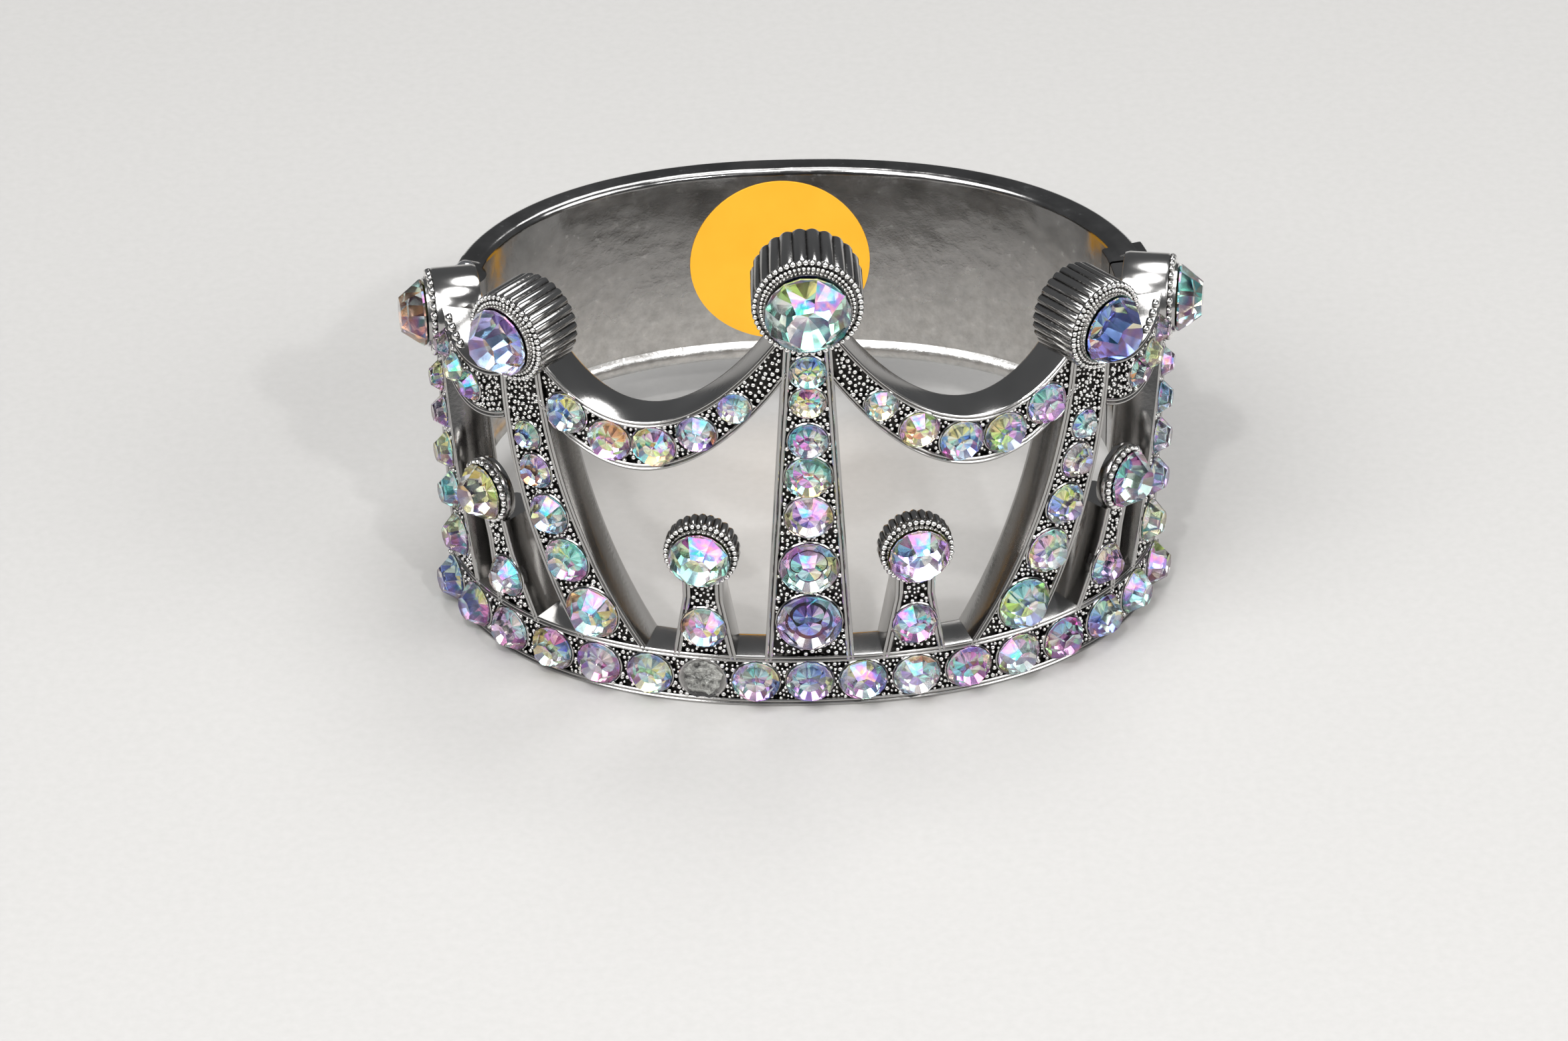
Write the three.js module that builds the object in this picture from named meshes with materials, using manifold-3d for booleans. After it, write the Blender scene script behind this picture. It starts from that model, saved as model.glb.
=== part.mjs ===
// Crown-fronted hinged bangle, in millimetres. +Z is up, the crown faces -Y, and the base ring stands on z = 0.
// The front is drawn flat and then bent round an oval: "along" is the distance round the outer wall from the
// front centre (positive to +X), "up" is the height, and "out" is the distance out of the wall.
import * as THREE from 'three';
import { mergeVertices } from 'three/addons/utils/BufferGeometryUtils.js';
import Module from 'manifold-3d';

const wasm = await Module();
wasm.setup();

// ---- driving sizes ----
const SQUARENESS = 2.25;
const FRONT = { halfWidth: 35.2, halfDepth: 28.4 };
const WALL = 4.2;
const RING_HEIGHT = 5.8;
const STONE = 4.8;
const STONE_PITCH = 5.15;
const BAND = { halfWidth: 34.3, halfDepth: 26.05, thickness: 2.7, low: 6.05, high: 28 };
const GAP = 0.3;

// ---- the oval ----
const TABLE_STEP = THREE.MathUtils.degToRad(0.5);

function ovalPoint(oval, angle) {
  const x = Math.sin(angle);
  const y = -Math.cos(angle);
  const sum = Math.abs(x / oval.halfWidth) ** SQUARENESS + Math.abs(y / oval.halfDepth) ** SQUARENESS;
  const reach = sum ** (-1 / SQUARENESS);
  const slopeX = Math.sign(x) * Math.abs(x * reach / oval.halfWidth) ** (SQUARENESS - 1) / oval.halfWidth;
  const slopeY = Math.sign(y) * Math.abs(y * reach / oval.halfDepth) ** (SQUARENESS - 1) / oval.halfDepth;
  const normal = new THREE.Vector3(slopeX, slopeY, 0).normalize();
  return { at: new THREE.Vector3(x * reach, y * reach, 0), normal };
}

function arcTable(oval) {
  const lengths = [0];
  let before = ovalPoint(oval, 0).at;
  for (let step = 1; step * TABLE_STEP <= Math.PI; step += 1) {
    const here = ovalPoint(oval, step * TABLE_STEP).at;
    lengths.push(lengths[step - 1] + here.distanceTo(before));
    before = here;
  }
  return lengths;
}

const FRONT_ARC = arcTable(FRONT);

function frontAngle(along) {
  const wanted = Math.abs(along);
  let step = 0;
  while (step < FRONT_ARC.length - 2 && FRONT_ARC[step + 1] < wanted) step += 1;
  const part = (wanted - FRONT_ARC[step]) / (FRONT_ARC[step + 1] - FRONT_ARC[step]);
  return Math.sign(along) * (step + part) * TABLE_STEP;
}

function bend(along, up, out) {
  const { at, normal } = ovalPoint(FRONT, frontAngle(along));
  return at.addScaledVector(normal, out).setZ(up);
}

// ---- solids ----
// A closed skin through loops of equally many points, with flat ends.
function skin(loops) {
  const positions = [];
  const index = [];
  const count = loops[0].length;
  for (const loop of loops) {
    for (const point of loop) positions.push(point.x, point.y, point.z);
  }
  for (let row = 0; row + 1 < loops.length; row += 1) {
    for (let i = 0; i < count; i += 1) {
      const next = (i + 1) % count;
      const a = row * count + i;
      const b = row * count + next;
      index.push(a, b, b + count, a, b + count, a + count);
    }
  }
  const last = (loops.length - 1) * count;
  for (let i = 1; i + 1 < count; i += 1) {
    index.push(0, i + 1, i);
    index.push(last, last + i, last + i + 1);
  }
  const geometry = new THREE.BufferGeometry();
  geometry.setAttribute('position', new THREE.Float32BufferAttribute(positions, 3));
  geometry.setIndex(index);
  return outward(geometry);
}

function signedVolume(geometry) {
  const p = geometry.attributes.position;
  const corner = [new THREE.Vector3(), new THREE.Vector3(), new THREE.Vector3()];
  let sum = 0;
  for (let i = 0; i < geometry.index.count; i += 3) {
    corner.forEach((vector, k) => vector.fromBufferAttribute(p, geometry.index.getX(i + k)));
    sum += corner[0].dot(corner[1].clone().cross(corner[2]));
  }
  return sum / 6;
}

function outward(geometry) {
  if (signedVolume(geometry) > 0) return geometry;
  const flipped = Array.from(geometry.index.array);
  for (let i = 0; i < flipped.length; i += 3) [flipped[i], flipped[i + 1]] = [flipped[i + 1], flipped[i]];
  geometry.setIndex(flipped);
  return geometry;
}

function solid(geometry) {
  const clean = geometry.clone();
  clean.deleteAttribute('normal');
  clean.deleteAttribute('uv');
  const merged = mergeVertices(clean, 1e-4);
  return new wasm.Manifold(new wasm.Mesh({
    numProp: 3,
    vertProperties: new Float32Array(merged.attributes.position.array),
    triVerts: new Uint32Array(merged.index.array),
  }));
}

function toGeometry(body) {
  const mesh = body.getMesh();
  const geometry = new THREE.BufferGeometry();
  geometry.setAttribute('position', new THREE.Float32BufferAttribute(mesh.vertProperties, 3));
  geometry.setIndex(Array.from(mesh.triVerts));
  geometry.computeVertexNormals();
  return geometry;
}

function uprightRod(x, y, low, high, radius, sides) {
  const rod = new THREE.CylinderGeometry(radius, radius, high - low, sides);
  rod.rotateX(Math.PI / 2);
  rod.translate(x, y, (low + high) / 2);
  return rod;
}

// A round body standing out of the wall: each ring is [radius, out], from the back to the front.
function roundOnWall(along, up, rings, sides) {
  const angle = frontAngle(along);
  const { at, normal } = ovalPoint(FRONT, angle);
  const across = new THREE.Vector3(-normal.y, normal.x, 0);
  const loops = rings.map(([radius, out]) => {
    const loop = [];
    for (let i = 0; i < sides; i += 1) {
      const turn = (i / sides) * 2 * Math.PI;
      const point = at.clone().setZ(up + radius * Math.sin(turn));
      point.addScaledVector(normal, out).addScaledVector(across, radius * Math.cos(turn));
      loop.push(point);
    }
    return loop;
  });
  return skin(loops);
}

// ---- the flat drawing of the crown ----
// A spire's setting is the round barrel on its top: its face and back are distances out of the wall.
const BASE_STONES_A_SIDE = 8;
const RING_END_MARGIN = 0.8;
const RING_END = BASE_STONES_A_SIDE * STONE_PITCH + STONE / 2 + RING_END_MARGIN;

const SPIRES = {
  centre: {
    middle: () => 0,
    width: (up) => 9.2 - 0.115 * up,
    top: 42,
    column: [9.8, 16, 21.8, 26.3, 30.3, 34.6, 37.9],
    sizes: [6.2, 5.6, 4.6, 4.5, 3.8, 3.4, 3.6],
    setting: { up: 46, radius: 5.2, stone: 8, face: 1.6, back: -WALL },
  },
  tall: {
    middle: (up) => 15.7 + 0.72 * up - 0.0098 * up * up,
    width: (up) => 7.4 - 0.075 * up,
    top: 36,
    column: [8.6, 13.8, 18.4, 22.8, 26.5],
    sizes: [5.4, 4.6, 4.2, 3.6, 3],
    setting: { up: 37.7, radius: 4.5, stone: 6.7, face: 1.6, back: -WALL },
  },
  outer: {
    middle: (up) => 36.8 + 0.31 * up,
    width: (up) => 5.8 - 0.05 * up,
    top: 28,
    column: [9, 13.3, 17.2, 20.9, 24.3],
    sizes: [4.2, 3.8, 3.6, 3.2, 3],
    setting: { up: 30.4, radius: 4.2, stone: 6.4, face: 0.5, back: -WALL },
  },
  short: {
    middle: (up) => 9.9 + 0.02 * up,
    width: (up) => 3.9 + 0.35 * Math.max(0, 12 - up),
    top: 15,
    column: [8.9],
    sizes: [4.4],
    setting: { up: 17.4, radius: 3.5, stone: 5.8, face: 0.5, back: -1.6 },
  },
  outer_short: {
    middle: (up) => 28.4 + 0.31 * up,
    width: (up) => 3.7 + 0.3 * Math.max(0, 12 - up),
    top: 15,
    column: [8.9],
    sizes: [4.2],
    setting: { up: 17.4, radius: 3.4, stone: 5.6, face: 0.2, back: -1.6 },
  },
};

// Each swag hangs in a parabola between two spires.
const SWAGS = [
  { from: 1.5, to: 27.5, lowest: 17, mid: 28.6 },
  { from: 28.3, to: 44.8, lowest: 36.6, mid: 28.2 },
];
const SWAG_DEPTH = 5.5;
const SWAG_SAG = 0.051;

function swagHeight(swag, along) {
  return swag.mid + SWAG_SAG * (along - swag.lowest) ** 2;
}

// ---- parts of the casting ----
const CHAMFER = 0.6;

function ringBody() {
  const sections = 36;
  const loops = [];
  for (let i = 0; i <= sections; i += 1) {
    const along = (2 * i / sections - 1) * RING_END;
    loops.push([
      bend(along, CHAMFER, 0),
      bend(along, 0, -CHAMFER),
      bend(along, 0, CHAMFER - WALL),
      bend(along, CHAMFER, -WALL),
      bend(along, RING_HEIGHT, -WALL),
      bend(along, RING_HEIGHT, 0),
    ]);
  }
  return skin(loops);
}

const SPIRE_ROOT = 2;

function spireBody(spire, side) {
  const low = RING_HEIGHT - SPIRE_ROOT;
  const sections = 6;
  const loops = [];
  for (let i = 0; i <= sections; i += 1) {
    const up = low + (spire.top - low) * i / sections;
    const middle = side * spire.middle(up);
    const half = spire.width(up) / 2;
    loops.push([
      bend(middle - half, up, 0),
      bend(middle, up, 0),
      bend(middle + half, up, 0),
      bend(middle + half, up, -WALL),
      bend(middle, up, -WALL),
      bend(middle - half, up, -WALL),
    ]);
  }
  return skin(loops);
}

function swagBody(swag, side) {
  const sections = 12;
  const loops = [];
  for (let i = 0; i <= sections; i += 1) {
    const along = swag.from + (swag.to - swag.from) * i / sections;
    const middle = swagHeight(swag, along);
    loops.push([
      bend(side * along, middle - SWAG_DEPTH / 2, 0),
      bend(side * along, middle + SWAG_DEPTH / 2, 0),
      bend(side * along, middle + SWAG_DEPTH / 2, -WALL),
      bend(side * along, middle - SWAG_DEPTH / 2, -WALL),
    ]);
  }
  return skin(loops);
}

const BARREL_SIDES = 16;

function barrelBody(setting, along) {
  const rings = [[setting.radius, setting.back], [setting.radius, setting.face]];
  return roundOnWall(along, setting.up, rings, BARREL_SIDES);
}

// ---- stones and their seats ----
const SEAT_DEPTH = 0.7;
const SEAT_SLACK = 0.25;
const SEAT_REACH = 1.5;
const FACETS = 8;
// Shares of a stone's size: its back's and table's width against the girdle's, and their heights.
const CUT = { back: 0.85, table: 0.55, girdleHeight: 0.05, crownHeight: 0.3 };

function stoneBody(along, up, size, face) {
  const r = size / 2;
  const back = face - SEAT_DEPTH + GAP;
  const girdle = face + CUT.girdleHeight * size;
  const table = girdle + CUT.crownHeight * size;
  return roundOnWall(along, up, [[CUT.back * r, back], [r, girdle], [CUT.table * r, table]], FACETS);
}

function seatBody(along, up, size, face) {
  const r = size / 2 + SEAT_SLACK;
  return roundOnWall(along, up, [[r, face - SEAT_DEPTH], [r, face + SEAT_REACH]], FACETS);
}

const EMPTY_SEAT = -2;
// The small stones of the two outer columns and of the swags are too many for nodes of their own.
const SEATLESS = /^outer_(left|right)_stone_/;
const STONES = [];

function addStone(name, along, up, size, face = 0) {
  STONES.push({ name, along, up, size, face });
}

for (let i = -BASE_STONES_A_SIDE; i <= BASE_STONES_A_SIDE; i += 1) {
  const label = i < 0 ? `left_${-i}` : i > 0 ? `right_${i}` : 'middle';
  addStone(`base_stone_${label}`, i * STONE_PITCH, RING_HEIGHT / 2, STONE - GAP);
}
for (const [name, spire] of Object.entries(SPIRES)) {
  const sides = name === 'centre' ? [1] : [-1, 1];
  for (const side of sides) {
    const place = name === 'centre' ? name : `${name}_${side < 0 ? 'left' : 'right'}`;
    spire.column.forEach((up, i) => {
      addStone(`${place}_stone_${i + 1}`, side * spire.middle(up), up, spire.sizes[i]);
    });
    const { setting } = spire;
    addStone(`${place}_top_stone`, side * spire.middle(setting.up), setting.up, setting.stone, setting.face);
  }
}

// ---- side plates, hinge and catch ----
const JOINT = { along: 57.4, out: -2.5 };
const KNUCKLE_RADIUS = 2;
const PIN_RADIUS = 0.58;
const PIN_BORE = 0.66;
const KNUCKLE_GAP = 0.25;
const PLATE = { start: 40, low: BAND.low, high: BAND.high, outer: -1, inner: -4 };
const END_CLEARANCE = 0.45;
const WEB_THICKNESS = 2.6;
const OVERLAP = 1;
const hingeAt = bend(-JOINT.along, 0, JOINT.out);
const thirds = (BAND.high - BAND.low) / 3;
const MIDDLE_KNUCKLE = { low: BAND.low + thirds, high: BAND.high - thirds };

function sidePlate(side, end) {
  const sections = 8;
  const loops = [];
  for (let i = 0; i <= sections; i += 1) {
    const along = PLATE.start + (end - PLATE.start) * i / sections;
    loops.push([
      bend(side * along, PLATE.low, PLATE.outer),
      bend(side * along, PLATE.high, PLATE.outer),
      bend(side * along, PLATE.high, PLATE.inner),
      bend(side * along, PLATE.low, PLATE.inner),
    ]);
  }
  return skin(loops);
}

// A short bar along the wall that joins a plate to its knuckle.
function web(from, to, low, high) {
  const loops = [from, to].map((point) => {
    const across = new THREE.Vector3().subVectors(to, from).normalize();
    const sideways = new THREE.Vector3(-across.y, across.x, 0).multiplyScalar(WEB_THICKNESS / 2);
    return [
      point.clone().add(sideways).setZ(low),
      point.clone().add(sideways).setZ(high),
      point.clone().sub(sideways).setZ(high),
      point.clone().sub(sideways).setZ(low),
    ];
  });
  return skin(loops);
}

const MAGNET = { thick: 1.4, wide: 1.5, low: 11, high: 23 };
const CATCH = { along: 57.4, block: 3.2, gap: 0.3, outer: -0.4, inner: -4.6 };

function alongBlock(from, to, low, high, outer, inner) {
  return skin([from, to].map((along) => [
    bend(along, low, outer),
    bend(along, high, outer),
    bend(along, high, inner),
    bend(along, low, inner),
  ]));
}

// The magnet's middle line lies between the faces of the catch blocks.
const MAGNET_OUT = (CATCH.outer + CATCH.inner) / 2;

function magnetBlock(from, to, slack) {
  return alongBlock(from, to, MAGNET.low - slack, MAGNET.high + slack, MAGNET_OUT + MAGNET.wide / 2 + slack,
    MAGNET_OUT - MAGNET.wide / 2 - slack);
}

const FRONT_FACE = CATCH.along - CATCH.gap / 2;
const BACK_FACE = CATCH.along + CATCH.gap / 2;
const RECESS = 0.15;

function pinBore() {
  return solid(uprightRod(hingeAt.x, hingeAt.y, 0, PLATE.high + OVERLAP, PIN_BORE, BARREL_SIDES));
}

function castingBody() {
  const hingeSide = JOINT.along - KNUCKLE_RADIUS - END_CLEARANCE;
  const parts = [
    ringBody(),
    sidePlate(-1, hingeSide),
    sidePlate(1, FRONT_FACE - OVERLAP),
    web(bend(-(hingeSide - OVERLAP), 0, JOINT.out), hingeAt, MIDDLE_KNUCKLE.low, MIDDLE_KNUCKLE.high),
    uprightRod(hingeAt.x, hingeAt.y, MIDDLE_KNUCKLE.low, MIDDLE_KNUCKLE.high, KNUCKLE_RADIUS, BARREL_SIDES),
    alongBlock(FRONT_FACE - CATCH.block, FRONT_FACE, BAND.low, BAND.high, CATCH.outer, CATCH.inner),
  ];
  for (const [name, spire] of Object.entries(SPIRES)) {
    for (const side of name === 'centre' ? [1] : [-1, 1]) {
      parts.push(spireBody(spire, side));
      parts.push(barrelBody(spire.setting, side * spire.middle(spire.setting.up)));
    }
  }
  for (const side of [-1, 1]) {
    for (const swag of SWAGS) parts.push(swagBody(swag, side));
  }
  let body = parts.map(solid).reduce((whole, part) => whole.add(part));
  for (const stone of STONES) {
    if (!SEATLESS.test(stone.name)) {
      body = body.subtract(solid(seatBody(stone.along, stone.up, stone.size, stone.face)));
    }
  }
  body = body.subtract(pinBore());
  return body.subtract(solid(magnetBlock(FRONT_FACE - MAGNET.thick - RECESS, FRONT_FACE + OVERLAP, RECESS)));
}

// ---- the back band ----
const BAND_EDGE = 0.5;

function bandPoint(angle, up, out) {
  const { at, normal } = ovalPoint(BAND, angle);
  return at.addScaledVector(normal, out).setZ(up);
}

function bandStrip(startAngle, endAngle) {
  const sections = 44;
  const loops = [];
  for (let i = 0; i <= sections; i += 1) {
    const angle = startAngle + (endAngle - startAngle) * i / sections;
    const { low, high, thickness } = BAND;
    loops.push([
      bandPoint(angle, low, -BAND_EDGE),
      bandPoint(angle, low + BAND_EDGE, 0),
      bandPoint(angle, high - BAND_EDGE, 0),
      bandPoint(angle, high, -BAND_EDGE),
      bandPoint(angle, high, BAND_EDGE - thickness),
      bandPoint(angle, high - BAND_EDGE, -thickness),
      bandPoint(angle, low + BAND_EDGE, -thickness),
      bandPoint(angle, low, BAND_EDGE - thickness),
    ]);
  }
  return skin(loops);
}

// The angle on the band's oval whose point is nearest to a distance round the front wall.
function bandAngle(along) {
  const target = bend(along, 0, PLATE.outer);
  return Math.atan2(target.x, -target.y);
}

const WEB_ROOT = 0.03;

function backBandBody() {
  const hingeEnd = bandAngle(-(JOINT.along + KNUCKLE_RADIUS + END_CLEARANCE));
  const catchEnd = bandAngle(BACK_FACE + OVERLAP);
  const middle = bandPoint(hingeEnd - WEB_ROOT, 0, -BAND.thickness / 2);
  const parts = [
    bandStrip(catchEnd, hingeEnd + 2 * Math.PI),
    alongBlock(BACK_FACE, BACK_FACE + CATCH.block, BAND.low, BAND.high, CATCH.outer, CATCH.inner),
  ];
  const ends = [
    [BAND.low, MIDDLE_KNUCKLE.low - KNUCKLE_GAP],
    [MIDDLE_KNUCKLE.high + KNUCKLE_GAP, BAND.high],
  ];
  for (const [low, high] of ends) {
    parts.push(uprightRod(hingeAt.x, hingeAt.y, low, high, KNUCKLE_RADIUS, BARREL_SIDES));
    parts.push(web(middle, hingeAt, low, high));
  }
  let body = parts.map(solid).reduce((whole, part) => whole.add(part));
  body = body.subtract(pinBore());
  return body.subtract(solid(magnetBlock(BACK_FACE - OVERLAP, BACK_FACE + MAGNET.thick + RECESS, RECESS)));
}

// ---- the hinge pin: a plain rod with a round head on the top knuckle ----
const PIN_HEAD = { radius: 1, crown: 0.7, gap: 0.1, edge: 0.4, shoulder: 0.9, height: 1.1 };

function hingePin() {
  const foot = BAND.low + GAP;
  const head = BAND.high + PIN_HEAD.gap;
  const profile = [
    new THREE.Vector2(0, foot),
    new THREE.Vector2(PIN_RADIUS, foot),
    new THREE.Vector2(PIN_RADIUS, head),
    new THREE.Vector2(PIN_HEAD.radius, head),
    new THREE.Vector2(PIN_HEAD.radius, head + PIN_HEAD.edge),
    new THREE.Vector2(PIN_HEAD.crown, head + PIN_HEAD.shoulder),
    new THREE.Vector2(0, head + PIN_HEAD.height),
  ];
  const pin = new THREE.LatheGeometry(profile, BARREL_SIDES);
  pin.rotateX(Math.PI / 2);
  pin.translate(hingeAt.x, hingeAt.y, 0);
  return toGeometry(solid(pin));
}

// ---- the round paper sticker inside the band ----
const STICKER = { radius: 9.2, up: 17.6, aside: -1.5, thickness: 0.12, gap: 0.1 };

function stickerBody() {
  const sides = 28;
  const rings = [1, 0.66, 0.33];
  const place = (across, up, out) => bandPoint(Math.PI - (STICKER.aside + across) / BAND.halfDepth, up, out);
  const face = (out) => rings.map((part) => {
    const loop = [];
    for (let i = 0; i < sides; i += 1) {
      const turn = (i / sides) * 2 * Math.PI;
      loop.push(place(part * STICKER.radius * Math.cos(turn), STICKER.up + part * STICKER.radius * Math.sin(turn),
        out));
    }
    return loop;
  });
  const back = face(-BAND.thickness - STICKER.gap);
  const front = face(-BAND.thickness - STICKER.gap - STICKER.thickness);
  return skin([...back.reverse(), ...front]);
}

// ---- the assembly ----
const crown = new THREE.Group();
crown.name = 'crown_bangle';

const LOOKS = {
  plate: { color: 0x8f9094, roughness: 0.28, metalness: 1 },
  steel: { color: 0xb8bac0, roughness: 0.3, metalness: 1 },
  magnet: { color: 0x5d5f66, roughness: 0.45, metalness: 1 },
  paper: { color: 0xf2b632, roughness: 0.8, metalness: 0 },
  crystal: { color: 0xcfd8f2, roughness: 0.05, metalness: 0 },
};

function addMesh(name, geometry, look) {
  const material = new THREE.MeshStandardMaterial(LOOKS[look]);
  material.name = look;
  const mesh = new THREE.Mesh(geometry, material);
  mesh.name = name;
  crown.add(mesh);
}

addMesh('crown_casting', toGeometry(castingBody()), 'plate');
addMesh('back_band', toGeometry(backBandBody()), 'plate');
addMesh('hinge_pin', hingePin(), 'steel');
addMesh('catch_magnet_front', magnetBlock(FRONT_FACE - MAGNET.thick, FRONT_FACE, 0), 'magnet');
addMesh('catch_magnet_back', magnetBlock(BACK_FACE, BACK_FACE + MAGNET.thick, 0), 'magnet');
addMesh('price_sticker', stickerBody(), 'paper');

const LEFT_EMPTY = `base_stone_left_${-EMPTY_SEAT}`;
for (const stone of STONES) {
  if (stone.name === LEFT_EMPTY || SEATLESS.test(stone.name)) continue;
  addMesh(stone.name, stoneBody(stone.along, stone.up, stone.size, stone.face), 'crystal');
}

// The origin goes to the middle of the bounding box, on the resting face.
const bounds = new THREE.Box3().setFromObject(crown);
const middle = bounds.getCenter(new THREE.Vector3());
for (const mesh of crown.children) mesh.geometry.translate(-middle.x, -middle.y, -bounds.min.z);

export default crown;
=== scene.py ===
"""The looks of a crown-fronted hinged bangle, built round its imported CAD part.

Shapes are made in millimetres and turned into metres when a piece is made. The front is drawn flat
and then bent round an oval: a flat point is (along the outer wall from the front centre, up, out).
"""
import math
import random

import bpy
import numpy as np
from mathutils import Matrix, Vector


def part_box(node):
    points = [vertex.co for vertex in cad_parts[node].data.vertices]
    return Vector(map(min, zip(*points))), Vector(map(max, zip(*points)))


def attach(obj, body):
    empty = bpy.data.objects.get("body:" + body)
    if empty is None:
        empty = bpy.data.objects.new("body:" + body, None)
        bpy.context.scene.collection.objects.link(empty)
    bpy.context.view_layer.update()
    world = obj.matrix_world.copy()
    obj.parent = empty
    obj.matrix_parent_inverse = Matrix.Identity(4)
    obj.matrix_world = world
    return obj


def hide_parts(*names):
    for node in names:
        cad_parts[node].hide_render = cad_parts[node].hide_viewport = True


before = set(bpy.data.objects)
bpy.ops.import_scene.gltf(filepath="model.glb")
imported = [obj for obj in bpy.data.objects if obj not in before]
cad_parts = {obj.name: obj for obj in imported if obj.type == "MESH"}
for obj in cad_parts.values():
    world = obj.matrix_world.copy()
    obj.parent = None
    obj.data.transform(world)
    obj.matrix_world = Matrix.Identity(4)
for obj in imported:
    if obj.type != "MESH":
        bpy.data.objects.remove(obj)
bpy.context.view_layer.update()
MM = 0.001


def box_mm(node):
    """The lowest and highest corner of a CAD node, in millimetres."""
    low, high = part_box(node)
    return low / MM, high / MM


# ---- driving sizes ----
CASTING_LOW = box_mm("crown_casting")[0]
BAND_LOW, BAND_HIGH = box_mm("back_band")
PIN_LOW, PIN_HIGH = box_mm("hinge_pin")
# How square the ovals are: 2 would be an ellipse.
SQUARENESS = 2.25
FRONT_HALF_WIDTH = 35.2
BAND_HALF_WIDTH = 34.3
BAND_HALF_DEPTH = 26.05
BAND_THICKNESS = 2.7
CENTRE_Y = BAND_HIGH.y - BAND_HALF_DEPTH
# The front's wall: its thickness, how far the big settings and the sunk ground are out of it, and the
# height of its base ring.
WALL = 4.2
BARREL_OUT = 1.6
GROUND = -0.6
RING_HEIGHT = 5.8


# ---- the ovals ----
class Oval:
    """A slightly squared oval, with the distance round it from the front."""

    def __init__(self, half_width, half_depth):
        self.half = np.array([half_width, half_depth])
        self.angles = np.linspace(0, math.pi, 1441)
        steps = np.diff(self.wall(self.angles)[0], axis=0)
        self.lengths = np.concatenate([[0], np.cumsum(np.hypot(steps[:, 0], steps[:, 1]))])

    def wall(self, angle):
        """Points and outward normals at angles from -Y towards +X."""
        aim = np.stack([np.sin(angle), -np.cos(angle)], axis=-1)
        reach = np.sum(np.abs(aim / self.half) ** SQUARENESS, axis=-1) ** (-1 / SQUARENESS)
        points = aim * reach[..., None]
        normals = np.sign(points) * np.abs(points / self.half) ** (SQUARENESS - 1) / self.half
        return points, normals / np.linalg.norm(normals, axis=-1, keepdims=True)

    def angle_at(self, along):
        return np.sign(along) * np.interp(np.abs(along), self.lengths, self.angles)

    def along_at(self, x, y):
        """The distance round the wall to the place nearest to a point."""
        points = self.wall(self.angles)[0]
        nearest = np.argmin(np.hypot(points[:, 0] - abs(x), points[:, 1] - (y - CENTRE_Y)))
        return math.copysign(self.lengths[nearest], x)


FRONT = Oval(FRONT_HALF_WIDTH, CENTRE_Y - CASTING_LOW.y - BARREL_OUT)
BAND = Oval(BAND_HALF_WIDTH, BAND_HALF_DEPTH)


def bend(flat):
    """Flat points, moved to where they lie on the bent front."""
    flat = np.asarray(flat, float)
    points, normals = FRONT.wall(FRONT.angle_at(flat[:, 0]))
    level = points + normals * flat[:, 2:3]
    return np.column_stack([level[:, 0], level[:, 1] + CENTRE_Y, flat[:, 1]])


def on_wall(points, along, up):
    """Points (across, up, out) from a place on the wall, moved there without bending."""
    points = np.asarray(points, float)
    at, normal = FRONT.wall(FRONT.angle_at(np.array([along])))
    across = np.array([-normal[0, 1], normal[0, 0]])
    level = at[0] + points[:, 0:1] * across + points[:, 2:3] * normal[0]
    return np.column_stack([level[:, 0], level[:, 1] + CENTRE_Y, points[:, 1] + up])


# ---- mesh tools ----
class Pile:
    """Gathers points in millimetres and faces, and makes one piece of them."""

    def __init__(self, plain_relief=1.0):
        self.plain_relief = plain_relief
        self.points, self.faces, self.relief, self.materials, self.colours = [], [], [], [], []
        self.count = 0

    def add(self, points, faces, relief=None, material=0, colours=None):
        points = np.asarray(points, float)
        relief = self.plain_relief if relief is None else relief
        self.points.append(points)
        self.relief.append(np.broadcast_to(np.asarray(relief, float), (len(points),)))
        self.faces += [tuple(corner + self.count for corner in face) for face in faces]
        self.materials += [material] * len(faces) if isinstance(material, int) else list(material)
        self.colours += list(colours) if colours is not None else []
        self.count += len(points)

    def piece(self, name, materials, body, replaces=(), smooth=35):
        """Makes the piece, riding on its body. Edges sharper than smooth degrees stay sharp; 0 is faceted."""
        mesh = bpy.data.meshes.new(name)
        mesh.from_pydata((np.concatenate(self.points) * MM).tolist(), [], self.faces)
        mesh.polygons.foreach_set("material_index", self.materials)
        relief = mesh.attributes.new("relief", "FLOAT", "POINT")
        relief.data.foreach_set("value", np.concatenate(self.relief).astype(np.float32))
        if self.colours:
            tint = mesh.attributes.new("tint", "FLOAT_COLOR", "CORNER")
            rows = [(*self.colours[face.index], 1.0) for face in mesh.polygons for _ in face.loop_indices]
            tint.data.foreach_set("color", np.array(rows, np.float32).ravel())
        for material in materials:
            mesh.materials.append(material)
        if smooth:
            mesh.shade_smooth()
            mesh.set_sharp_from_angle(angle=math.radians(smooth))
        made = bpy.data.objects.new(name, mesh)
        bpy.context.scene.collection.objects.link(made)
        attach(made, body)
        if replaces:
            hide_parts(*replaces)


def loft(loops):
    """Points and outward faces of a closed body through loops of equally many points."""
    points = np.concatenate(loops)
    rows, count = len(loops), len(loops[0])
    faces = []
    for row in range(rows - 1):
        for i in range(count):
            a, b = row * count + i, row * count + (i + 1) % count
            faces.append((a, b, b + count, a + count))
    faces.append(tuple(range(count))[::-1])
    faces.append(tuple(range((rows - 1) * count, rows * count)))
    return points, outward(points, faces)


def outward(points, faces):
    """The faces, turned so that the closed body they bound faces out."""
    volume = 0.0
    for face in faces:
        a = points[face[0]]
        for i in range(1, len(face) - 1):
            volume += np.dot(a, np.cross(points[face[i]], points[face[i + 1]]))
    return faces if volume > 0 else [face[::-1] for face in faces]


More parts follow.
